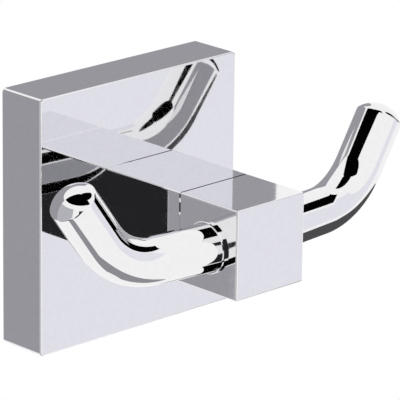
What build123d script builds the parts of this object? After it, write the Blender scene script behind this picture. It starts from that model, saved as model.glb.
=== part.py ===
"""Double robe hook: a square wall plate, a square stem with a head block, and two upturned arms.

The wall is the plane Y = 0 and the hook stands out from it along -Y, with +Z up and +X to the right
as seen from the front. The origin is the middle of the plate on the wall. Sizes are in millimetres.
"""
from build123d import *
from math import asin, cos, radians, sin
import os

# Wall plate, a cast cover that is hollow behind
plate_size = 55.0
plate_depth = 12.0
plate_wall = 2.2
plate_front_wall = 2.6
plate_corner_r = 0.9
plate_front_r = 0.35
plate_back_break = 0.4
plate_inner_r = 1.6
plate_floor_r = 1.0
boss_r = 8.5
boss_height = 1.0
rib_width = 1.2
rib_height = 1.2

# Stem and head block, one square section
bar_size = 19.0
bar_edge_r = 0.35
stem_length = 22.0
head_depth = 16.5
seam_break = 0.2

# Arms, bent from round bar
arm_d = 10.0
arm_straight = 13.8
arm_bend_r = 16.8
arm_bend_deg = 55.0
arm_tip_straight = 10.0
arm_sweep_deg = 5.3
tip_rim = 1.0
tip_rim_r = 0.7
dome_height = 2.6
spigot_d = 6.0
socket_web = 5.0
socket_end_gap = 0.5
spigot_chamfer = 0.5
collar_lip = 0.45
collar_thickness = 0.7
collar_edge_break = 0.15

# Screw and stud on the axis of the stem
screw_d = 6.0
screw_engagement = 8.0
screw_head_d = 10.0
screw_head_height = 3.6
screw_key = 4.0
screw_key_depth = 2.2
washer_d = 12.6
washer_thickness = 1.0
spring_washer_d = 10.4
spring_washer_thickness = 1.2
spring_washer_gap = 1.2
stud_in_stem = 6.0
stud_web = 0.8
stud_key = 3.0
stud_key_depth = 2.5
drill_extra = 1.0

# Pins between the square pieces
pin_d = 2.5
pin_offset = 6.2
pin_in_stem = 2.6
head_pin_depth = 3.0
pin_end_gap = 0.2

# Wall bracket, bent from steel strip, and what locks the cover on it
bracket_width = 30.0
bracket_thickness = 1.6
bracket_bend_r = 1.0
bracket_side_gap = 4.7
bracket_lip = 2.8
bracket_reach = 7.4
bracket_hole_d = 13.0
wall_hole_d = 4.5
wall_hole_spacing = 28.0
catch_width = 6.0
catch_offset = 9.0
catch_thickness = 2.0
catch_overlap = 1.2
lock_d = 4.0
lock_distance = 5.0
lock_recess = 0.6
lock_point_length = 1.3
lock_point_step = 0.3
lock_point_tip_r = 0.8
lock_key = 2.0
lock_key_depth = 2.0
lock_boss_width = 8.0
lock_boss_height = 2.5

# Grub screws under the arms
set_screw_d = 3.0
set_screw_length = 4.0
set_screw_key = 1.5
set_screw_key_depth = 1.5

# Clearances
thread_gap = 0.05
fit_gap = 0.05
hook_gap = 0.2

# Planes along Y, measured out from the wall
front_y = -plate_depth
seam_y = front_y - stem_length
arm_y = seam_y - head_depth / 2
nose_y = seam_y - head_depth
floor_y = front_y + plate_front_wall
boss_y = floor_y + boss_height

# Sizes that follow from the ones above
inner_half = plate_size / 2 - plate_wall
bracket_half = inner_half - bracket_side_gap
bar_half = bar_size / 2
spigot_length = bar_half - socket_web / 2 - socket_end_gap
set_screw_x = bar_half - spigot_length / 2
stud_in_head = head_depth / 2 - spigot_d / 2 - stud_web

OUTWARD = (0, -1, 0)
UP = (0, 0, 1)


def rod(radius, start, direction, length):
    """A round bar from a point, along a direction."""
    base = Cylinder(radius, length, align=(Align.CENTER, Align.CENTER, Align.MIN))
    return Plane(origin=start, z_dir=direction) * base


def key_socket(width, depth, start, direction):
    """The hexagonal hole that a key fits, cut from a point, along a direction."""
    hexagon = Plane(origin=start, z_dir=direction) * RegularPolygon(width / 2, 6, major_radius=False)
    return extrude(hexagon, amount=depth, dir=direction)


def slab(x_range, y_range, z_range):
    """A rectangular block between pairs of coordinates."""
    sizes = [abs(b - a) for a, b in (x_range, y_range, z_range)]
    centre = [(a + b) / 2 for a, b in (x_range, y_range, z_range)]
    return Pos(*centre) * Box(*sizes)


def square_bar(size, y_back, y_front, edge_r):
    """A square bar along Y with its four long edges rounded."""
    bar = slab((-size / 2, size / 2), (y_front, y_back), (-size / 2, size / 2))
    return fillet(bar.edges().filter_by(Axis.Y), edge_r)


def edges_at_y(solid, y):
    """The edges that lie in one plane across the axis of the hook."""
    return solid.edges().filter_by_position(Axis.Y, y - 0.001, y + 0.001)


def pin_points(y, axis):
    """Two places at the same distance from the axis of the stem, along X or along Z."""
    if axis == "x":
        return [(-pin_offset, y, 0), (pin_offset, y, 0)]
    return [(0, y, -pin_offset), (0, y, pin_offset)]


def make_cover_plate():
    outer = square_bar(plate_size, 0, front_y, plate_corner_r)
    outer = fillet(edges_at_y(outer, front_y), plate_front_r)
    outer = chamfer(edges_at_y(outer, 0), plate_back_break)
    hollow = square_bar(2 * inner_half, 0, floor_y, plate_inner_r)
    hollow = fillet(edges_at_y(hollow, floor_y), plate_floor_r)
    cover = outer - hollow
    cover += rod(boss_r, (0, floor_y, 0), (0, 1, 0), boss_height)
    half_rib = rib_width / 2
    rib_y = (floor_y, floor_y + rib_height)
    cover += slab((-inner_half, -boss_r + 1), rib_y, (-half_rib, half_rib))
    cover += slab((boss_r - 1, inner_half), rib_y, (-half_rib, half_rib))
    cover += slab((-half_rib, half_rib), rib_y, (-inner_half, -boss_r + 1))
    cover += slab((-half_rib, half_rib), rib_y, (boss_r - 1, inner_half))

    # Catches under the top wall, on the wall side of the bracket's lip
    catch_front = -bracket_reach + bracket_thickness + hook_gap
    lip_top = bracket_half + bracket_lip
    for x in (-catch_offset, catch_offset):
        x_range = (x - catch_width / 2, x + catch_width / 2)
        z_range = (lip_top - catch_overlap, inner_half)
        cover += slab(x_range, (catch_front, catch_front + catch_thickness), z_range)

    # Boss for the lock screw, on the bottom wall
    half_boss = lock_boss_width / 2
    boss_back = -lock_distance + half_boss
    cover += slab((-half_boss, half_boss), (floor_y, boss_back), (-inner_half, -inner_half + lock_boss_height))
    cover -= rod(lock_d / 2 + thread_gap, (0, -lock_distance, -plate_size / 2), UP, plate_wall + lock_boss_height)

    # Holes through the front for the stem's screw and pins
    cover -= rod(screw_d / 2 + fit_gap, (0, boss_y, 0), OUTWARD, boss_height + plate_front_wall)
    for point in pin_points(boss_y, "x"):
        cover -= rod(pin_d / 2 + fit_gap, point, OUTWARD, boss_height + plate_front_wall)
    return cover


def make_stem():
    stem = square_bar(bar_size, front_y, seam_y, bar_edge_r)
    for y in (front_y, seam_y):
        stem = chamfer(edges_at_y(stem, y), seam_break)
    stem -= rod(screw_d / 2 + thread_gap, (0, front_y, 0), OUTWARD, screw_engagement + drill_extra)
    stem -= rod(screw_d / 2 + thread_gap, (0, seam_y, 0), (0, 1, 0), stud_in_stem + drill_extra)
    for point in pin_points(front_y, "x"):
        stem -= rod(pin_d / 2 + fit_gap, point, OUTWARD, pin_in_stem + pin_end_gap)
    for point in pin_points(seam_y, "z"):
        stem -= rod(pin_d / 2 + fit_gap, point, (0, 1, 0), head_pin_depth + pin_end_gap)
    return stem


def make_head_block():
    head = slab((-bar_half, bar_half), (nose_y, seam_y), (-bar_half, bar_half))
    head = fillet(head.edges().filter_by(Axis.Y), bar_edge_r)
    head = fillet(edges_at_y(head, nose_y), bar_edge_r)
    head = chamfer(edges_at_y(head, seam_y), seam_break)
    head -= rod(screw_d / 2 + thread_gap, (0, seam_y, 0), OUTWARD, stud_in_head + stud_web / 2)
    for point in pin_points(seam_y, "z"):
        head -= rod(pin_d / 2 + fit_gap, point, OUTWARD, head_pin_depth + pin_end_gap)
    for side in (-1, 1):
        head -= rod(spigot_d / 2 + fit_gap, (side * bar_half, arm_y, 0), (-side, 0, 0), spigot_length + socket_end_gap)
        head -= rod(set_screw_d / 2 + thread_gap, (side * set_screw_x, arm_y, -bar_half), UP, bar_half)
    return head


def make_right_arm():
    """The arm on the +X side: a spigot, then a bar that runs out, bends up and ends in a dome."""
    root = Vector(bar_half, arm_y, 0)
    shoulder_x = bar_half + collar_thickness
    bend = radians(arm_bend_deg)
    bend_end = (arm_straight + arm_bend_r * sin(bend), arm_bend_r * (1 - cos(bend)))
    tip = (bend_end[0] + arm_tip_straight * cos(bend), bend_end[1] + arm_tip_straight * sin(bend))

    # The centre line is drawn in the XZ plane from the side of the block, then swept back to the wall
    run_out = Line((0, 0), (arm_straight, 0))
    curve = JernArc((arm_straight, 0), (1, 0), arm_bend_r, arm_bend_deg)
    run_up = Line(bend_end, tip)
    centre_line = Plane.XZ * Wire([run_out.edge(), curve.edge(), run_up.edge()])
    bar = sweep(Plane.YZ * Circle(arm_d / 2), path=centre_line)

    bar += Plane(origin=(tip[0], 0, tip[1]), z_dir=(cos(bend), 0, sin(bend))) * make_tip()

    bar = Pos(*root) * Rot(0, 0, arm_sweep_deg) * bar
    reach = 2 * (arm_straight + arm_bend_r + arm_tip_straight + tip_rim + dome_height)
    bar = bar & slab((shoulder_x, shoulder_x + reach), (arm_y - reach, arm_y + reach), (-reach, reach))

    spigot = rod(spigot_d / 2, (shoulder_x, arm_y, 0), (-1, 0, 0), collar_thickness + spigot_length)
    end_edge = spigot.edges().filter_by(GeomType.CIRCLE).sort_by(Axis.X)[0]
    return bar + chamfer(end_edge, spigot_chamfer)


def make_tip():
    """The end of an arm: a short rim and a low dome, with the corner between them rounded."""
    radius = arm_d / 2
    sphere_r = (radius ** 2 + dome_height ** 2) / (2 * dome_height)
    centre = tip_rim + dome_height - sphere_r
    half_turn = asin(radius / sphere_r) / 2
    rim = (radius, tip_rim)
    crown = (0, tip_rim + dome_height)
    half_way = (sphere_r * sin(half_turn), centre + sphere_r * cos(half_turn))
    profile = make_face([
        Line((0, 0), (radius, 0)),
        Line((radius, 0), rim),
        ThreePointArc(rim, half_way, crown),
        Line(crown, (0, 0)),
    ])
    profile = fillet(profile.vertices().sort_by_distance((*rim, 0))[0], tip_rim_r)
    return revolve(Plane.XZ * profile, Axis.Z)


def make_right_collar():
    """The trim ring between the shoulder of the arm and the side of the block."""
    start = (bar_half, arm_y, 0)
    ring = rod(arm_d / 2 + collar_lip, start, (1, 0, 0), collar_thickness)
    ring = chamfer(ring.edges().filter_by(GeomType.CIRCLE).sort_by(Axis.X)[-1], collar_edge_break)
    return ring - rod(spigot_d / 2 + fit_gap, start, (1, 0, 0), collar_thickness)


def make_stem_washer():
    washer = rod(washer_d / 2, (0, boss_y, 0), (0, 1, 0), washer_thickness)
    return washer - rod(screw_d / 2 + fit_gap, (0, boss_y, 0), (0, 1, 0), washer_thickness)


def make_spring_washer():
    start = (0, boss_y + washer_thickness, 0)
    ring = rod(spring_washer_d / 2, start, (0, 1, 0), spring_washer_thickness)
    ring -= rod(screw_d / 2 + fit_gap, start, (0, 1, 0), spring_washer_thickness)
    half_gap = spring_washer_gap / 2
    y_range = (start[1], start[1] + spring_washer_thickness)
    return ring - slab((0, spring_washer_d), y_range, (-half_gap, half_gap))


def make_stem_screw():
    head_y = boss_y + washer_thickness + spring_washer_thickness
    length = head_y - front_y + screw_engagement
    screw = rod(screw_d / 2, (0, head_y, 0), OUTWARD, length)
    screw += rod(screw_head_d / 2, (0, head_y, 0), (0, 1, 0), screw_head_height)
    return screw - key_socket(screw_key, screw_key_depth, (0, head_y + screw_head_height, 0), OUTWARD)


def make_joining_stud():
    back_y = seam_y + stud_in_stem
    stud = rod(screw_d / 2, (0, back_y, 0), OUTWARD, stud_in_stem + stud_in_head)
    return stud - key_socket(stud_key, stud_key_depth, (0, back_y, 0), OUTWARD)


def make_stem_pins():
    length = boss_y - front_y + pin_in_stem
    return Compound([rod(pin_d / 2, point, OUTWARD, length) for point in pin_points(boss_y, "x")])


def make_head_pins():
    points = pin_points(seam_y + head_pin_depth, "z")
    return Compound([rod(pin_d / 2, point, OUTWARD, 2 * head_pin_depth) for point in points])


def make_arm_set_screws():
    screws = []
    for side in (-1, 1):
        top = (side * set_screw_x, arm_y, -spigot_d / 2)
        bottom = (top[0], top[1], top[2] - set_screw_length)
        screw = rod(set_screw_d / 2, top, (0, 0, -1), set_screw_length)
        screws.append(screw - key_socket(set_screw_key, set_screw_key_depth, bottom, UP))
    return Compound(screws)


def make_lock_screw():
    """A grub screw with a point: its shoulder bears on the bracket's lower flange."""
    bottom = (0, -lock_distance, -plate_size / 2 + lock_recess)
    length = plate_size / 2 - lock_recess - bracket_half
    screw = rod(lock_d / 2, bottom, UP, length)
    point = Cone(lock_d / 2 - lock_point_step, lock_point_tip_r, lock_point_length,
                 align=(Align.CENTER, Align.CENTER, Align.MIN))
    screw += Pos(0, -lock_distance, -bracket_half) * point
    return screw - key_socket(lock_key, lock_key_depth, bottom, UP)


def make_wall_bracket():
    """Bent strip, seen from the side: a back, a flange at each end and a lip on the upper one."""
    t = bracket_thickness
    top = bracket_half
    lip_top = top + bracket_lip
    inner_corners = [(-t, -top + t), (-t, top - t), (-bracket_reach, top - t)]
    outer_corners = [(0, -top), (0, top), (-bracket_reach + t, top)]
    profile = Polyline(
        (-bracket_reach, -top), outer_corners[0], outer_corners[1], outer_corners[2],
        (-bracket_reach + t, lip_top), (-bracket_reach, lip_top),
        inner_corners[2], inner_corners[1], inner_corners[0], (-bracket_reach, -top + t),
        close=True,
    )
    face = make_face(Plane.YZ * profile)
    bracket = extrude(face, amount=bracket_width / 2, both=True)
    for y, z in inner_corners[:2] + outer_corners[2:]:
        bracket = fillet(bend_edge(bracket, y, z), bracket_bend_r)
    for y, z in outer_corners[:2] + inner_corners[2:]:
        bracket = fillet(bend_edge(bracket, y, z), bracket_bend_r + t)
    bracket -= rod(bracket_hole_d / 2, (0, 0, 0), OUTWARD, t)
    for z in (-wall_hole_spacing / 2, wall_hole_spacing / 2):
        bracket -= rod(wall_hole_d / 2, (0, 0, z), OUTWARD, t)
    point_hole_r = lock_d / 2 - lock_point_step + fit_gap
    bracket -= rod(point_hole_r, (0, -lock_distance, -top), UP, t)
    return bracket


def bend_edge(solid, y, z):
    """The edge along X at one corner of the bracket's profile."""
    return solid.edges().filter_by(Axis.X).sort_by_distance((0, y, z))[0]


def main():
    right_arm = make_right_arm()
    right_collar = make_right_collar()
    parts = {
        "cover_plate": make_cover_plate(),
        "stem": make_stem(),
        "head_block": make_head_block(),
        "right_arm": right_arm,
        "left_arm": mirror(right_arm, about=Plane.YZ),
        "right_collar": right_collar,
        "left_collar": mirror(right_collar, about=Plane.YZ),
        "wall_bracket": make_wall_bracket(),
        "lock_screw": make_lock_screw(),
        "stem_screw": make_stem_screw(),
        "stem_washer": make_stem_washer(),
        "spring_washer": make_spring_washer(),
        "stem_pins": make_stem_pins(),
        "joining_stud": make_joining_stud(),
        "head_pins": make_head_pins(),
        "arm_set_screws": make_arm_set_screws(),
    }
    os.makedirs("parts", exist_ok=True)
    for name, shape in parts.items():
        export_step(shape, f"parts/{name}.step")


main()
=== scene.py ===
"""Looks of the double robe hook: bright chrome outside, zinc and plain steel in the hollow back."""
import bmesh
import bpy
from math import asin, cos, pi, radians, sin, sqrt
from mathutils import Matrix, Vector


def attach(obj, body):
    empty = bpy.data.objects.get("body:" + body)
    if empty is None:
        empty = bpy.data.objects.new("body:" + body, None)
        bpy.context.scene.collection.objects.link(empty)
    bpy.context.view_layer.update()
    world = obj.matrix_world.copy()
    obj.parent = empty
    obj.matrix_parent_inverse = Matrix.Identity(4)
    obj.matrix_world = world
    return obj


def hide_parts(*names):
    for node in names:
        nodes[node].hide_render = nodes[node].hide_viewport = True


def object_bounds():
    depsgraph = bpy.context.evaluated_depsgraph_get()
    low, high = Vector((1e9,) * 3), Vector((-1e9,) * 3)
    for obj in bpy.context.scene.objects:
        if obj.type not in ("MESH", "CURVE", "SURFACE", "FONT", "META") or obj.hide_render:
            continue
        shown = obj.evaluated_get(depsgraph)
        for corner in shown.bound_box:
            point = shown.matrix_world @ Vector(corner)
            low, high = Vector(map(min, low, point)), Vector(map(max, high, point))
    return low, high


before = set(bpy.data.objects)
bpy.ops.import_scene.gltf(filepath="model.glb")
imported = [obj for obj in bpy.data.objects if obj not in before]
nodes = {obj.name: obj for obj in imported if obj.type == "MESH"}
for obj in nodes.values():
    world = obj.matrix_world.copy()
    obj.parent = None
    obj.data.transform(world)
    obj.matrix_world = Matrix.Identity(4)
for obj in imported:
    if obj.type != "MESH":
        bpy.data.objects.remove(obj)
cad_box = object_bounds()
MM = 0.001

# Sizes of the hook in millimetres, the same as in the part
BAR_HALF = 9.5
ARM_Y = -42.25
ARM_D = 10.0
ARM_STRAIGHT = 13.8
ARM_BEND_R = 16.8
ARM_BEND_DEG = 55.0
ARM_TIP_STRAIGHT = 10.0
ARM_SWEEP_DEG = 5.3
TIP_RIM = 1.0
TIP_RIM_R = 0.7
DOME_HEIGHT = 2.6
SPIGOT_D = 6.0
SPIGOT_LENGTH = 6.5
SPIGOT_CHAMFER = 0.5
COLLAR_LIP = 0.45
COLLAR_THICKNESS = 0.7
COLLAR_EDGE = 0.15
FIT_GAP = 0.05
SHOULDER_X = BAR_HALF + COLLAR_THICKNESS
PLATE_HALF = 27.5
PLATE_WALL = 2.2
PLATE_FRONT_Y = -12.0
PLATE_FRONT_WALL = 2.6
SEAM_Y = -34.0

# Screws in millimetres: thread diameter, pitch, key width across flats and key depth. The lock screw's
# point has its end radius and its length. A ring of a screw is round or a hexagon.
STEM_SCREW = (6.0, 1.0, 4.0, 2.2)
STEM_SCREW_LENGTH = 13.8
STEM_SCREW_HEAD_D = 10.0
STEM_SCREW_HEAD_HEIGHT = 3.6
STEM_SCREW_TIP_Y = -20.0
JOINING_STUD = (6.0, 1.0, 3.0, 2.5)
STUD_IN_STEM = 6.0
STUD_IN_HEAD = 4.45
LOCK_SCREW = (4.0, 0.7, 2.0, 2.0)
LOCK_SCREW_Y = -5.0
LOCK_SCREW_LOW_Z = -26.9
LOCK_SCREW_LENGTH = 6.3
LOCK_POINT = (0.8, 1.3)
SET_SCREW = (3.0, 0.5, 1.5, 1.5)
SET_SCREW_X = 6.25
SET_SCREW_TOP_Z = -3.0
SET_SCREW_LENGTH = 4.0
THREAD_DEPTH_SHARE = 0.55
RINGS_A_PITCH = 8
SCREW_SIDES = 48
SCREW_CHAMFER = 0.3
KEY_MOUTH_SHARE = 1.19
DRILL_CONE = 0.4
DRILL_SHARE = 0.9
DRILL_TIP_SHARE = 0.1
ROUND = 0
HEXAGON = 6

# How finely the round pieces are divided
BAR_SIDES = 128
BEND_STEPS = 72
DOME_STEPS = 40
RIM_STEPS = 12
STRAIGHT_STEPS = 6

# The camera, which looks at the hook from its left and a little above
CAMERA_AZIMUTH_DEG = -44.22
CAMERA_ELEVATION_DEG = 18.08
CAMERA_ROLL_DEG = 0.78
CAMERA_DISTANCE = 0.7183
CAMERA_TARGET = (-0.00679, -0.0370, 0.008095)
CAMERA_LENS_PIXELS = 3568.0
IMAGE_PIXELS = 400
SENSOR_MM = 36.0

# The floor lies well below the hook, which a wall holds
FLOOR_DROP = 0.55
FLOOR_SIZE = 12.0


def grey_level(value):
    """The strength of light that is seen as this grey, from 0 to 255."""
    share = value / 255
    return share / 12.92 if share < 0.04045 else ((share + 0.055) / 1.055) ** 2.4


def tinted(value, blue):
    """A grey with a little blue in it, as a colour."""
    level = grey_level(value)
    return (level * (1 - 0.5 * blue), level * (1 - 0.6 * blue), level * (1 + blue), 1.0)


class NodeBench:
    """Short calls for a node tree: new nodes, sums and links."""

    def __init__(self, tree):
        self.tree = tree

    def add(self, kind, **settings):
        node = self.tree.nodes.new(kind)
        for name, value in settings.items():
            setattr(node, name, value)
        return node

    def feed(self, socket, value):
        if isinstance(value, bpy.types.NodeSocket):
            self.tree.links.new(value, socket)
        else:
            socket.default_value = value

    def math(self, operation, *values):
        node = self.add("ShaderNodeMath", operation=operation)
        for socket, value in zip(node.inputs, values):
            self.feed(socket, value)
        return node.outputs[0]

    def ramp(self, value, low, high, start=0.0, end=1.0, smooth=True):
        """Maps a value from one range to another, and holds it at the ends."""
        node = self.add("ShaderNodeMapRange")
        node.interpolation_type = "SMOOTHSTEP" if smooth else "LINEAR"
        names = ("Value", "From Min", "From Max", "To Min", "To Max")
        for name, number in zip(names, (value, low, high, start, end)):
            self.feed(node.inputs[name], number)
        return node.outputs[0]

    def mix(self, share, first, second):
        node = self.add("ShaderNodeMix", data_type="RGBA")
        self.feed(node.inputs["Factor"], share)
        self.feed(node.inputs[6], first)
        self.feed(node.inputs[7], second)
        return node.outputs[2]


# The studio is white all round, with a few large plain cards and black flags in it. Each row has a name,
# the middle and the half width round the hook in degrees, where 0 is in front and 90 to the right, the
# middle and the half height above the horizon, and its grey.
STUDIO_CARDS = [
    ("overhead_left_flag", -65, 65, 66, 22, 3),
    ("overhead_right_flag", 40, 40, 74, 14, 3),
    ("right_flag", 70, 12, 18, 27, 3),
    ("front_left_flag", -40, 9, -8, 34, 40),
    ("low_left_flag", -95, 45, -47, 10, 3),
    ("right_low_cloth", 90, 30, -36, 12, 80),
    ("low_cloth", 0, 75, -70, 14, 150),
    ("back_cloth", 180, 50, 2, 38, 160),
    ("front_right_cloth", 45, 10, 0, 32, 240),
    ("left_cloth", -100, 30, 0, 30, 190),
]
CARD_BLUE = 0.05
CARD_DISTANCE = 0.5
CARD_STEPS = 24


def to_eye_and_mirrors(bench):
    """1 for what the camera, a mirror or glass shows, and 0 for the light on everything else."""
    rays = bench.add("ShaderNodeLightPath")
    shown = bench.math("MAXIMUM", rays.outputs["Is Camera Ray"], rays.outputs["Is Glossy Ray"])
    return bench.math("MAXIMUM", shown, rays.outputs["Is Transmission Ray"])


def make_world(level=0.9):
    """White to the camera, mirrors and glass, and an even light at a plain level."""
    world = bpy.data.worlds.new("studio")
    bpy.context.scene.world = world
    world.use_nodes = True
    bench = NodeBench(world.node_tree)
    strength = bench.ramp(to_eye_and_mirrors(bench), 0.0, 1.0, level, 1.0, smooth=False)
    lit = world.node_tree.nodes["Background"]
    bench.feed(lit.inputs["Color"], (1.0, 1.0, 1.0, 1.0))
    bench.feed(lit.inputs["Strength"], strength)


def make_card(row):
    """One card of the studio: part of a sphere round the hook, which the camera itself doesn't see."""
    name, middle, half_width, height, half_height, grey = row
    points = []
    for i in range(CARD_STEPS + 1):
        lift = radians(height + half_height * (2 * i / CARD_STEPS - 1))
        for j in range(CARD_STEPS + 1):
            turn = radians(middle + half_width * (2 * j / CARD_STEPS - 1))
            direction = Vector((sin(turn) * cos(lift), -cos(turn) * cos(lift), sin(lift)))
            points.append(direction * CARD_DISTANCE)
    faces = []
    for i in range(CARD_STEPS):
        for j in range(CARD_STEPS):
            corner = i * (CARD_STEPS + 1) + j
            faces.append((corner, corner + 1, corner + CARD_STEPS + 2, corner + CARD_STEPS + 1))
    mesh = bpy.data.meshes.new(name)
    mesh.from_pydata(points, [], faces)
    material = bpy.data.materials.new(name)
    material.use_nodes = True
    material.node_tree.nodes.clear()
    bench = NodeBench(material.node_tree)
    glow = bench.add("ShaderNodeEmission")
    bench.feed(glow.inputs["Color"], tinted(grey, CARD_BLUE))
    output = bench.add("ShaderNodeOutputMaterial")
    bench.feed(output.inputs["Surface"], glow.outputs[0])
    mesh.materials.append(material)
    card = bpy.data.objects.new(name, mesh)
    bpy.context.collection.objects.link(card)
    card.visible_camera = False


def make_floor():
    """A plain pale floor, white to the camera, mirrors and glass."""
    mesh = bpy.data.meshes.new("floor")
    half = FLOOR_SIZE / 2
    z = cad_box[0][2] - FLOOR_DROP
    corners = [(-half, -half, z), (half, -half, z), (half, half, z), (-half, half, z)]
    mesh.from_pydata(corners, [], [(0, 1, 2, 3)])
    floor = bpy.data.objects.new("floor", mesh)
    bpy.context.collection.objects.link(floor)
    material = bpy.data.materials.new("pale_floor")
    material.use_nodes = True
    material.node_tree.nodes.clear()
    bench = NodeBench(material.node_tree)
    white = bench.add("ShaderNodeEmission")
    bench.feed(white.inputs["Color"], (1.0, 1.0, 1.0, 1.0))
    pale = bench.add("ShaderNodeBsdfDiffuse")
    bench.feed(pale.inputs["Color"], (0.85, 0.85, 0.85, 1.0))
    either = bench.add("ShaderNodeMixShader")
    bench.feed(either.inputs[0], to_eye_and_mirrors(bench))
    bench.feed(either.inputs[1], pale.outputs[0])
    bench.feed(either.inputs[2], white.outputs[0])
    output = bench.add("ShaderNodeOutputMaterial")
    bench.feed(output.inputs["Surface"], either.outputs[0])
    mesh.materials.append(material)


def make_camera():
    """The view of the photograph: a long lens from the left, a little above."""
    azimuth = radians(CAMERA_AZIMUTH_DEG)
    elevation = radians(CAMERA_ELEVATION_DEG)
    roll = radians(CAMERA_ROLL_DEG)
    back = Vector((sin(azimuth) * cos(elevation), -cos(azimuth) * cos(elevation), sin(elevation)))
    level = Vector((cos(azimuth), sin(azimuth), 0))
    above = back.cross(level)
    right = level * cos(roll) + above * sin(roll)
    up = above * cos(roll) - level * sin(roll)
    camera = bpy.data.cameras.new("camera")
    camera.sensor_width = SENSOR_MM
    camera.lens = CAMERA_LENS_PIXELS / IMAGE_PIXELS * SENSOR_MM
    camera.clip_start = 0.01
    camera.clip_end = 100.0
    holder = bpy.data.objects.new("camera", camera)
    bpy.context.collection.objects.link(holder)
    turned = Matrix((right, up, back)).transposed().to_4x4()
    holder.matrix_world = Matrix.Translation(Vector(CAMERA_TARGET) + back * CAMERA_DISTANCE) @ turned
    bpy.context.scene.camera = holder


def metal(name, colour, roughness, specks=0.0, haze_scale=900.0, bump=0.0, bump_scale=300.0):
    """A bare metal with a fine uneven haze and a faint waviness, both read from the object's own place."""
    material = bpy.data.materials.new(name)
    material.use_nodes = True
    bench = NodeBench(material.node_tree)
    shader = material.node_tree.nodes["Principled BSDF"]
    shader.inputs["Metallic"].default_value = 1.0
    place = bench.add("ShaderNodeTexCoord").outputs["Object"]
    haze = bench.add("ShaderNodeTexNoise")
    bench.feed(haze.inputs["Vector"], place)
    bench.feed(haze.inputs["Scale"], haze_scale)
    bench.feed(haze.inputs["Detail"], 4.0)
    low, high = roughness
    bench.feed(shader.inputs["Roughness"], bench.ramp(haze.outputs["Fac"], 0.35, 0.7, low, high))
    darker = tuple(c * (1 - specks) for c in colour)
    tone = bench.mix(bench.ramp(haze.outputs["Fac"], 0.4, 0.65), (*darker, 1.0), (*colour, 1.0))
    bench.feed(shader.inputs["Base Color"], tone)
    if bump:
        wave = bench.add("ShaderNodeTexNoise")
        bench.feed(wave.inputs["Vector"], place)
        bench.feed(wave.inputs["Scale"], bump_scale)
        bench.feed(wave.inputs["Detail"], 2.0)
        push = bench.add("ShaderNodeBump")
        bench.feed(push.inputs["Height"], wave.outputs["Fac"])
        bench.feed(push.inputs["Strength"], 1.0)
        bench.feed(push.inputs["Distance"], bump)
        bench.feed(shader.inputs["Normal"], push.outputs["Normal"])
    return material


def cast_back(chrome):
    """The chrome of the cover, with grey cast metal inside its hollow back."""
    material = chrome.copy()
    material.name = "cover_chrome"
    bench = NodeBench(material.node_tree)
    shader = material.node_tree.nodes["Principled BSDF"]
    names = ("Roughness", "Base Color", "Normal")
    polished = {name: shader.inputs[name].links[0].from_socket for name in names}
    place = bench.add("ShaderNodeTexCoord").outputs["Object"]
    parts = bench.add("ShaderNodeSeparateXYZ")
    bench.feed(parts.inputs[0], place)
    across = bench.math("ABSOLUTE", parts.outputs["X"])
    side = bench.math("MAXIMUM", across, bench.math("ABSOLUTE", parts.outputs["Z"]))
    inside = bench.math("LESS_THAN", side, (PLATE_HALF - PLATE_WALL / 2) * MM)
    behind = bench.math("GREATER_THAN", parts.outputs["Y"], (PLATE_FRONT_Y + PLATE_FRONT_WALL / 2) * MM)
    hollow = bench.math("MULTIPLY", inside, behind)
    grain = bench.add("ShaderNodeTexNoise")
    bench.feed(grain.inputs["Vector"], place)
    bench.feed(grain.inputs["Scale"], 1400.0)
    bench.feed(grain.inputs["Detail"], 5.0)
    rough = bench.add("ShaderNodeMix", data_type="FLOAT")
    bench.feed(rough.inputs[0], hollow)
    bench.feed(rough.inputs[2], polished["Roughness"])
    bench.feed(rough.inputs[3], bench.ramp(grain.outputs["Fac"], 0.3, 0.7, 0.36, 0.5))
    bench.feed(shader.inputs["Roughness"], rough.outputs[0])
    dark, light = (0.40, 0.41, 0.43, 1.0), (0.52, 0.53, 0.55, 1.0)
    cast = bench.mix(bench.ramp(grain.outputs["Fac"], 0.35, 0.7), dark, light)
    bench.feed(shader.inputs["Base Color"], bench.mix(hollow, polished["Base Color"], cast))
    push = bench.add("ShaderNodeBump")
    bench.feed(push.inputs["Height"], bench.math("MULTIPLY", grain.outputs["Fac"], hollow))
    bench.feed(push.inputs["Strength"], 1.0)
    bench.feed(push.inputs["Distance"], 1.2e-5)
    bench.feed(push.inputs["Normal"], polished["Normal"])
    bench.feed(shader.inputs["Normal"], push.outputs["Normal"])
    return material


def finish_node(name, material):
    """Gives every slot of a CAD node this material."""
    for slot in nodes[name].material_slots:
        slot.material = material


def piece_from(name, bm, material, slot, *replaced):
    """Makes an object of a mesh in metres, shades it smooth and lets it stand for CAD nodes."""
    mesh = bpy.data.meshes.new(name)
    bm.to_mesh(mesh)
    bm.free()
    mesh.materials.append(material)
    for face in mesh.polygons:
        face.use_smooth = True
    piece = bpy.data.objects.new(name, mesh)
    bpy.context.collection.objects.link(piece)
    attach(piece, "root")
    if replaced:
        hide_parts(*replaced)
    return piece


def sharpen(piece, angle_deg=40):
    """Keeps the edges crisp where two faces meet at more than this angle."""
    piece.data.set_sharp_from_angle(angle=radians(angle_deg))


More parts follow.
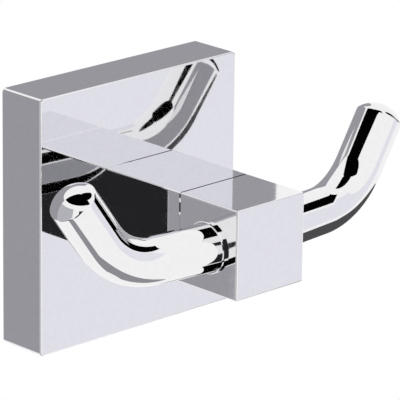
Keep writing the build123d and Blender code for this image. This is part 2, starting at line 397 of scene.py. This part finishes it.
def arm_stations():
    """Points on the centre line of an arm in its own plane, each with the radius of the bar there."""
    radius = ARM_D / 2
    bend = radians(ARM_BEND_DEG)
    stations = [(ARM_STRAIGHT * i / STRAIGHT_STEPS, 0.0, radius) for i in range(STRAIGHT_STEPS)]
    for i in range(BEND_STEPS + 1):
        turn = bend * i / BEND_STEPS
        stations.append((ARM_STRAIGHT + ARM_BEND_R * sin(turn), ARM_BEND_R * (1 - cos(turn)), radius))
    x0, z0, _ = stations[-1]
    for i in range(1, STRAIGHT_STEPS + 1):
        along = ARM_TIP_STRAIGHT * i / STRAIGHT_STEPS
        stations.append((x0 + along * cos(bend), z0 + along * sin(bend), radius))
    x1, z1, _ = stations[-1]
    for along, out in tip_profile():
        stations.append((x1 + along * cos(bend), z1 + along * sin(bend), out))
    return stations


def tip_profile():
    """The end of an arm as heights and radii: a rim, a rounded corner and a low dome."""
    radius = ARM_D / 2
    sphere_r = (radius ** 2 + DOME_HEIGHT ** 2) / (2 * DOME_HEIGHT)
    centre = TIP_RIM + DOME_HEIGHT - sphere_r
    corner_out = radius - TIP_RIM_R
    corner_up = centre + sqrt((sphere_r - TIP_RIM_R) ** 2 - corner_out ** 2)
    full_turn = asin(corner_out / (sphere_r - TIP_RIM_R))
    profile = []
    for i in range(RIM_STEPS + 1):
        turn = pi / 2 - (pi / 2 - full_turn) * i / RIM_STEPS
        profile.append((corner_up + TIP_RIM_R * cos(turn), corner_out + TIP_RIM_R * sin(turn)))
    for i in range(1, DOME_STEPS + 1):
        turn = full_turn * (1 - i / DOME_STEPS)
        profile.append((centre + sphere_r * cos(turn), sphere_r * sin(turn)))
    return profile


def bent_bar_tree():
    """Geometry Nodes: sweeps a circle along a line, to the radius that the line has at each point."""
    tree = bpy.data.node_groups.new("bent_bar", "GeometryNodeTree")
    tree.interface.new_socket("Geometry", in_out="INPUT", socket_type="NodeSocketGeometry")
    tree.interface.new_socket("Sides", in_out="INPUT", socket_type="NodeSocketInt")
    tree.interface.new_socket("Finish", in_out="INPUT", socket_type="NodeSocketMaterial")
    tree.interface.new_socket("Geometry", in_out="OUTPUT", socket_type="NodeSocketGeometry")
    bench = NodeBench(tree)
    given = bench.add("NodeGroupInput")
    circle = bench.add("GeometryNodeCurvePrimitiveCircle")
    bench.feed(circle.inputs["Resolution"], given.outputs["Sides"])
    bench.feed(circle.inputs["Radius"], 1.0)
    radius = bench.add("GeometryNodeInputNamedAttribute", data_type="FLOAT")
    bench.feed(radius.inputs["Name"], "bar_radius")
    line = bench.add("GeometryNodeMeshToCurve")
    bench.feed(line.inputs["Mesh"], given.outputs["Geometry"])
    sweep = bench.add("GeometryNodeCurveToMesh")
    bench.feed(sweep.inputs["Curve"], line.outputs["Curve"])
    bench.feed(sweep.inputs["Profile Curve"], circle.outputs["Curve"])
    bench.feed(sweep.inputs["Scale"], radius.outputs["Attribute"])
    real = bench.add("GeometryNodeRealizeInstances")
    bench.feed(real.inputs["Geometry"], sweep.outputs["Mesh"])
    dressed = bench.add("GeometryNodeSetMaterial")
    bench.feed(dressed.inputs["Geometry"], real.outputs["Geometry"])
    bench.feed(dressed.inputs["Material"], given.outputs["Finish"])
    result = bench.add("NodeGroupOutput")
    bench.feed(result.inputs["Geometry"], dressed.outputs["Geometry"])
    return tree


def grown(holder, tree, values):
    """The mesh that a node tree makes of an object, with the tree's inputs set by name."""
    modifier = holder.modifiers.new(tree.name, "NODES")
    modifier.node_group = tree
    for item in tree.interface.items_tree:
        if item.in_out == "INPUT" and item.name in values:
            modifier[item.identifier] = values[item.name]
    bpy.context.view_layer.update()
    graph = bpy.context.evaluated_depsgraph_get()
    mesh = bpy.data.meshes.new_from_object(holder.evaluated_get(graph))
    holder.modifiers.remove(modifier)
    bpy.data.objects.remove(holder)
    return mesh


def line_holder(stations):
    """A line in metres along the middle of the arm on the +X side of the block, with the bar's radius."""
    sweep = radians(ARM_SWEEP_DEG)
    line = bpy.data.meshes.new("arm_line")
    spots = []
    for along, up, _ in stations:
        spots.append(Vector((BAR_HALF + along * cos(sweep), ARM_Y + along * sin(sweep), up)) * MM)
    line.from_pydata(spots, [(i, i + 1) for i in range(len(spots) - 1)], [])
    radii = line.attributes.new("bar_radius", "FLOAT", "POINT")
    for item, (_, _, radius) in zip(radii.data, stations):
        item.value = radius * MM
    holder = bpy.data.objects.new("arm_line", line)
    bpy.context.collection.objects.link(holder)
    return holder


def seat_on_collar(bm):
    """Cuts the bar's open end to the plane of the collar and adds the spigot that goes into the block."""
    sweep = radians(ARM_SWEEP_DEG)
    open_edges = [edge for edge in bm.edges if edge.is_boundary]
    end = [edge for edge in open_edges if max(v.co.x for v in edge.verts) < ARM_STRAIGHT * MM]
    ring = {v for edge in end for v in edge.verts}
    for vert in ring:
        slide = (SHOULDER_X * MM - vert.co.x) / cos(sweep)
        vert.co += Vector((cos(sweep), sin(sweep), 0)) * slide
    middle = Vector((SHOULDER_X, ARM_Y, 0)) * MM
    tip_x = BAR_HALF - SPIGOT_LENGTH
    spigot_r = SPIGOT_D / 2
    rings = [(SHOULDER_X, spigot_r), (tip_x + SPIGOT_CHAMFER, spigot_r), (tip_x, spigot_r - SPIGOT_CHAMFER)]
    for x, radius in rings:
        made = bmesh.ops.extrude_edge_only(bm, edges=end)["geom"]
        end = [g for g in made if isinstance(g, bmesh.types.BMEdge) and g.is_boundary]
        for vert in {v for edge in end for v in edge.verts}:
            out = Vector((0, vert.co.y - middle.y, vert.co.z)).normalized()
            vert.co = Vector((x * MM, middle.y, 0)) + out * radius * MM
    bmesh.ops.contextual_create(bm, geom=end)


def make_arm(side, name, tree, chrome):
    """A bent bar with a domed end; the left one is the right one mirrored."""
    mesh = grown(line_holder(arm_stations()), tree, {"Sides": BAR_SIDES, "Finish": chrome})
    bm = bmesh.new()
    bm.from_mesh(mesh)
    bpy.data.meshes.remove(mesh)
    bmesh.ops.remove_doubles(bm, verts=bm.verts, dist=1e-7)
    seat_on_collar(bm)
    for vert in bm.verts:
        vert.co.x *= side
    bmesh.ops.recalc_face_normals(bm, faces=bm.faces)
    arm = piece_from(name, bm, chrome, "chrome", name.replace("_bar", ""))
    sharpen(arm)
    return arm


def ring_profile():
    """The section of a collar: distance out from the block and radius, all the way round."""
    bore = SPIGOT_D / 2 + FIT_GAP
    rim = ARM_D / 2 + COLLAR_LIP
    thick = COLLAR_THICKNESS
    return [(0, bore), (0, rim), (thick - COLLAR_EDGE, rim), (thick, rim - COLLAR_EDGE), (thick, bore)]


def make_collar(side, name, chrome):
    """The trim ring between an arm and the block."""
    bm = bmesh.new()
    loops = []
    for x, radius in ring_profile():
        loop = []
        for i in range(BAR_SIDES):
            turn = 2 * pi * i / BAR_SIDES
            spot = Vector((side * (BAR_HALF + x), ARM_Y + radius * cos(turn), radius * sin(turn)))
            loop.append(bm.verts.new(spot * MM))
        loops.append(loop)
    for first, second in zip(loops, loops[1:] + loops[:1]):
        for i in range(BAR_SIDES):
            j = (i + 1) % BAR_SIDES
            bm.faces.new((first[i], first[j], second[j], second[i]))
    bmesh.ops.recalc_face_normals(bm, faces=bm.faces)
    collar = piece_from(name, bm, chrome, "chrome", name.replace("_ring", ""))
    sharpen(collar, 30)
    return collar


def hexagon_reach(turn):
    """How far the side of a hexagon lies from its middle, in halves of its width across flats."""
    return 1 / cos((turn + pi / 6) % (pi / 3) - pi / 6)


def ring_of(reach, along, sides):
    """The points of one ring of a screw, round or six-sided."""
    points = []
    for i in range(SCREW_SIDES):
        turn = 2 * pi * i / SCREW_SIDES
        out = reach * hexagon_reach(turn) if sides == HEXAGON else reach
        points.append(Vector((out * cos(turn), out * sin(turn), along)))
    return points


def shank_rings(radius, start, end, pitch):
    """Rings along a threaded shank, each with how deep the thread is cut there, from 0 to 1."""
    count = round((end - start) / pitch * RINGS_A_PITCH)
    step = (end - start) / count
    rings = []
    for i in range(count + 1):
        share = min(1.0, i / RINGS_A_PITCH, (count - i) / RINGS_A_PITCH)
        rings.append((radius, start + step * i, ROUND, share))
    return rings


def key_rings(radius, top, key_width, key_depth):
    """Rings over a chamfered end, into a key socket and down to its drilled bottom."""
    half = key_width / 2
    cone_top = top - key_depth + DRILL_CONE
    return [
        (radius - SCREW_CHAMFER, top, ROUND, 0),
        (half * KEY_MOUTH_SHARE, top, ROUND, 0),
        (half, top - SCREW_CHAMFER / 2, HEXAGON, 0),
        (half, cone_top, HEXAGON, 0),
        (half * DRILL_SHARE, cone_top, ROUND, 0),
        (half * DRILL_TIP_SHARE, top - key_depth, ROUND, 0),
    ]


def screw_tree():
    """Geometry Nodes: cuts a helical thread into a shank that stands along Z."""
    tree = bpy.data.node_groups.new("thread", "GeometryNodeTree")
    tree.interface.new_socket("Geometry", in_out="INPUT", socket_type="NodeSocketGeometry")
    tree.interface.new_socket("Pitch", in_out="INPUT", socket_type="NodeSocketFloat")
    tree.interface.new_socket("Depth", in_out="INPUT", socket_type="NodeSocketFloat")
    tree.interface.new_socket("Finish", in_out="INPUT", socket_type="NodeSocketMaterial")
    tree.interface.new_socket("Geometry", in_out="OUTPUT", socket_type="NodeSocketGeometry")
    bench = NodeBench(tree)
    given = bench.add("NodeGroupInput")
    parts = bench.add("ShaderNodeSeparateXYZ")
    bench.feed(parts.inputs[0], bench.add("GeometryNodeInputPosition").outputs[0])
    turns = bench.math("DIVIDE", bench.math("ARCTAN2", parts.outputs["Y"], parts.outputs["X"]), 2 * pi)
    climb = bench.math("DIVIDE", parts.outputs["Z"], given.outputs["Pitch"])
    wave = bench.math("PINGPONG", bench.math("SUBTRACT", climb, turns), 0.5)
    share = bench.add("GeometryNodeInputNamedAttribute", data_type="FLOAT")
    bench.feed(share.inputs["Name"], "thread_share")
    cut = bench.math("MULTIPLY", bench.math("MULTIPLY", wave, -2.0), given.outputs["Depth"])
    cut = bench.math("MULTIPLY", cut, share.outputs["Attribute"])
    flat = bench.add("ShaderNodeCombineXYZ")
    bench.feed(flat.inputs["X"], parts.outputs["X"])
    bench.feed(flat.inputs["Y"], parts.outputs["Y"])
    outward = bench.add("ShaderNodeVectorMath", operation="NORMALIZE")
    bench.feed(outward.inputs[0], flat.outputs[0])
    shift = bench.add("ShaderNodeVectorMath", operation="SCALE")
    bench.feed(shift.inputs[0], outward.outputs[0])
    bench.feed(shift.inputs["Scale"], cut)
    moved = bench.add("GeometryNodeSetPosition")
    bench.feed(moved.inputs["Geometry"], given.outputs["Geometry"])
    bench.feed(moved.inputs["Offset"], shift.outputs[0])
    real = bench.add("GeometryNodeRealizeInstances")
    bench.feed(real.inputs["Geometry"], moved.outputs["Geometry"])
    dressed = bench.add("GeometryNodeSetMaterial")
    bench.feed(dressed.inputs["Geometry"], real.outputs["Geometry"])
    bench.feed(dressed.inputs["Material"], given.outputs["Finish"])
    result = bench.add("NodeGroupOutput")
    bench.feed(result.inputs["Geometry"], dressed.outputs["Geometry"])
    return tree


def add_screw(bm, rings, pitch, tree, finish, origin, direction):
    """Adds one screw to a mesh: its rings stand along Z, and then go to their place in the hook."""
    shell = bmesh.new()
    loops = []
    for reach, along, sides, _ in rings:
        loops.append([shell.verts.new(point * MM) for point in ring_of(reach, along, sides)])
    for first, second in zip(loops, loops[1:]):
        for i in range(SCREW_SIDES):
            j = (i + 1) % SCREW_SIDES
            shell.faces.new((first[i], first[j], second[j], second[i]))
    shell.faces.new(loops[0][::-1])
    shell.faces.new(loops[-1])
    mesh = bpy.data.meshes.new("screw")
    shell.to_mesh(mesh)
    shell.free()
    shares = mesh.attributes.new("thread_share", "FLOAT", "POINT")
    for i, item in enumerate(shares.data):
        item.value = rings[i // SCREW_SIDES][3]
    holder = bpy.data.objects.new("screw", mesh)
    bpy.context.collection.objects.link(holder)
    depth = THREAD_DEPTH_SHARE * pitch * MM
    cut = grown(holder, tree, {"Pitch": pitch * MM, "Depth": depth, "Finish": finish})
    turn = Vector((0, 0, 1)).rotation_difference(Vector(direction)).to_matrix().to_4x4()
    cut.transform(Matrix.Translation(Vector(origin) * MM) @ turn)
    bm.from_mesh(cut)
    bpy.data.meshes.remove(cut)


def screw_piece(name, bm, finish, node):
    """Makes a piece of one or more screws and lets it stand for their CAD node."""
    bmesh.ops.recalc_face_normals(bm, faces=bm.faces)
    sharpen(piece_from(name, bm, finish, "screw_steel", node), 15)


def grub_rings(screw, length):
    """Rings of a headless screw, from its flat end at 0 to the end with the key socket."""
    diameter, pitch, key_width, key_depth = screw
    radius = diameter / 2
    rings = [(radius - SCREW_CHAMFER, 0, ROUND, 0)]
    rings += shank_rings(radius, SCREW_CHAMFER, length - SCREW_CHAMFER, pitch)
    return rings + key_rings(radius, length, key_width, key_depth)


def make_stem_screw(tree, finish):
    """The cap screw from behind into the stem."""
    diameter, pitch, key_width, key_depth = STEM_SCREW
    radius, head_r = diameter / 2, STEM_SCREW_HEAD_D / 2
    head_top = STEM_SCREW_LENGTH + STEM_SCREW_HEAD_HEIGHT
    rings = [(radius - SCREW_CHAMFER, 0, ROUND, 0)]
    rings += shank_rings(radius, SCREW_CHAMFER, STEM_SCREW_LENGTH - pitch / 2, pitch)
    rings += [(radius, STEM_SCREW_LENGTH, ROUND, 0), (head_r, STEM_SCREW_LENGTH, ROUND, 0)]
    rings += [(head_r, head_top - SCREW_CHAMFER, ROUND, 0)]
    rings += key_rings(head_r, head_top, key_width, key_depth)
    bm = bmesh.new()
    add_screw(bm, rings, pitch, tree, finish, (0, STEM_SCREW_TIP_Y, 0), (0, 1, 0))
    screw_piece("stem_cap_screw", bm, finish, "stem_screw")


def make_joining_stud(tree, finish):
    """The headless stud between stem and head block."""
    bm = bmesh.new()
    length = STUD_IN_STEM + STUD_IN_HEAD
    add_screw(bm, grub_rings(JOINING_STUD, length), JOINING_STUD[1], tree, finish,
              (0, SEAM_Y - STUD_IN_HEAD, 0), (0, 1, 0))
    screw_piece("joining_stud_threaded", bm, finish, "joining_stud")


def make_set_screws(tree, finish):
    """The two grub screws that lock the arms."""
    bm = bmesh.new()
    for side in (-1, 1):
        add_screw(bm, grub_rings(SET_SCREW, SET_SCREW_LENGTH), SET_SCREW[1], tree, finish,
                  (side * SET_SCREW_X, ARM_Y, SET_SCREW_TOP_Z), (0, 0, -1))
    screw_piece("arm_grub_screws", bm, finish, "arm_set_screws")


def make_lock_screw(tree, finish):
    """The grub screw with a point, which locks the cover on the bracket."""
    point_r, point_length = LOCK_POINT
    rings = [(point_r, -point_length, ROUND, 0)] + grub_rings(LOCK_SCREW, LOCK_SCREW_LENGTH)
    bm = bmesh.new()
    top_z = LOCK_SCREW_LOW_Z + LOCK_SCREW_LENGTH
    add_screw(bm, rings, LOCK_SCREW[1], tree, finish, (0, LOCK_SCREW_Y, top_z), (0, 0, -1))
    screw_piece("lock_grub_screw", bm, finish, "lock_screw")


make_world()
for row in STUDIO_CARDS:
    make_card(row)
make_floor()
make_camera()

chrome = metal("chrome", (0.88, 0.88, 0.89), (0.02, 0.045), specks=0.02, bump=5e-7, bump_scale=260.0)
zinc = metal("zinc_steel", (0.62, 0.64, 0.67), (0.27, 0.36), specks=0.1, haze_scale=1600.0, bump=2e-6)
steel_grey = (0.55, 0.55, 0.56)
plain_steel = metal("screw_steel", steel_grey, (0.2, 0.38), specks=0.2, haze_scale=1500.0, bump=3e-6)

finish_node("cover_plate", cast_back(chrome))
for name in ("stem", "head_block"):
    finish_node(name, chrome)
for name in ("wall_bracket", "stem_washer"):
    finish_node(name, zinc)
for name in ("spring_washer", "stem_pins", "head_pins"):
    finish_node(name, plain_steel)

bar_tree = bent_bar_tree()
make_arm(1, "right_arm_bar", bar_tree, chrome)
make_arm(-1, "left_arm_bar", bar_tree, chrome)
make_collar(1, "right_collar_ring", chrome)
make_collar(-1, "left_collar_ring", chrome)

thread = screw_tree()
make_stem_screw(thread, plain_steel)
make_joining_stud(thread, plain_steel)
make_set_screws(thread, plain_steel)
make_lock_screw(thread, plain_steel)

bpy.context.scene.view_settings.view_transform = "Standard"
